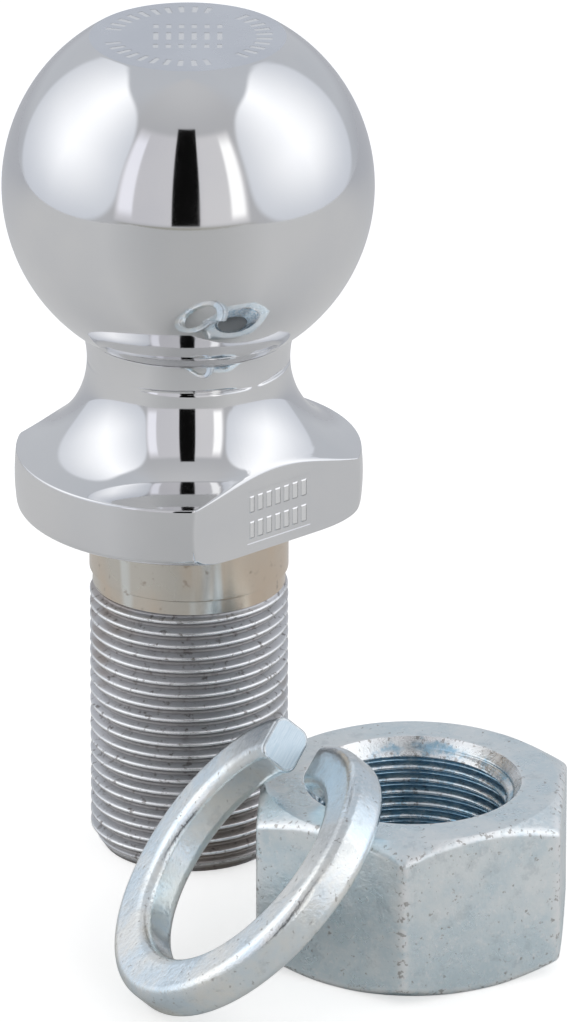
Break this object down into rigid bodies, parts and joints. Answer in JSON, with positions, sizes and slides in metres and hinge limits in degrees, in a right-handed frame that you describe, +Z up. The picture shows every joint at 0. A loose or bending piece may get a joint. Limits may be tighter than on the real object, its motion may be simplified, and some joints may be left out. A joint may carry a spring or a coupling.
{
  "type": "threaded tow ball",
  "caption": "Polished tow ball with a flat top, a necked flange with wrench flats and a fine-threaded shank, shown with its split lock washer and hex nut.",
  "frame": {"origin": "centre of the shank's end face, which stands on the ground", "axes": "+Z up along the axis of the shank and ball, -Y towards the picture's camera, +X to its right, where the nut lies"},
  "size_m": [0.0893, 0.1128, 0.137],
  "materials": {
    "chrome_plate": "polished chrome plate on the ball and flange, dull on the thread",
    "zinc_washer": "bright zinc plate, finely speckled",
    "zinc_nut": "bluish zinc plate, finely speckled"
  },
  "bodies": {
    "root": {"tow_ball": "chrome_plate", "lock_washer": "zinc_washer", "hex_nut": "zinc_nut"}
  },
  "joints": []
}
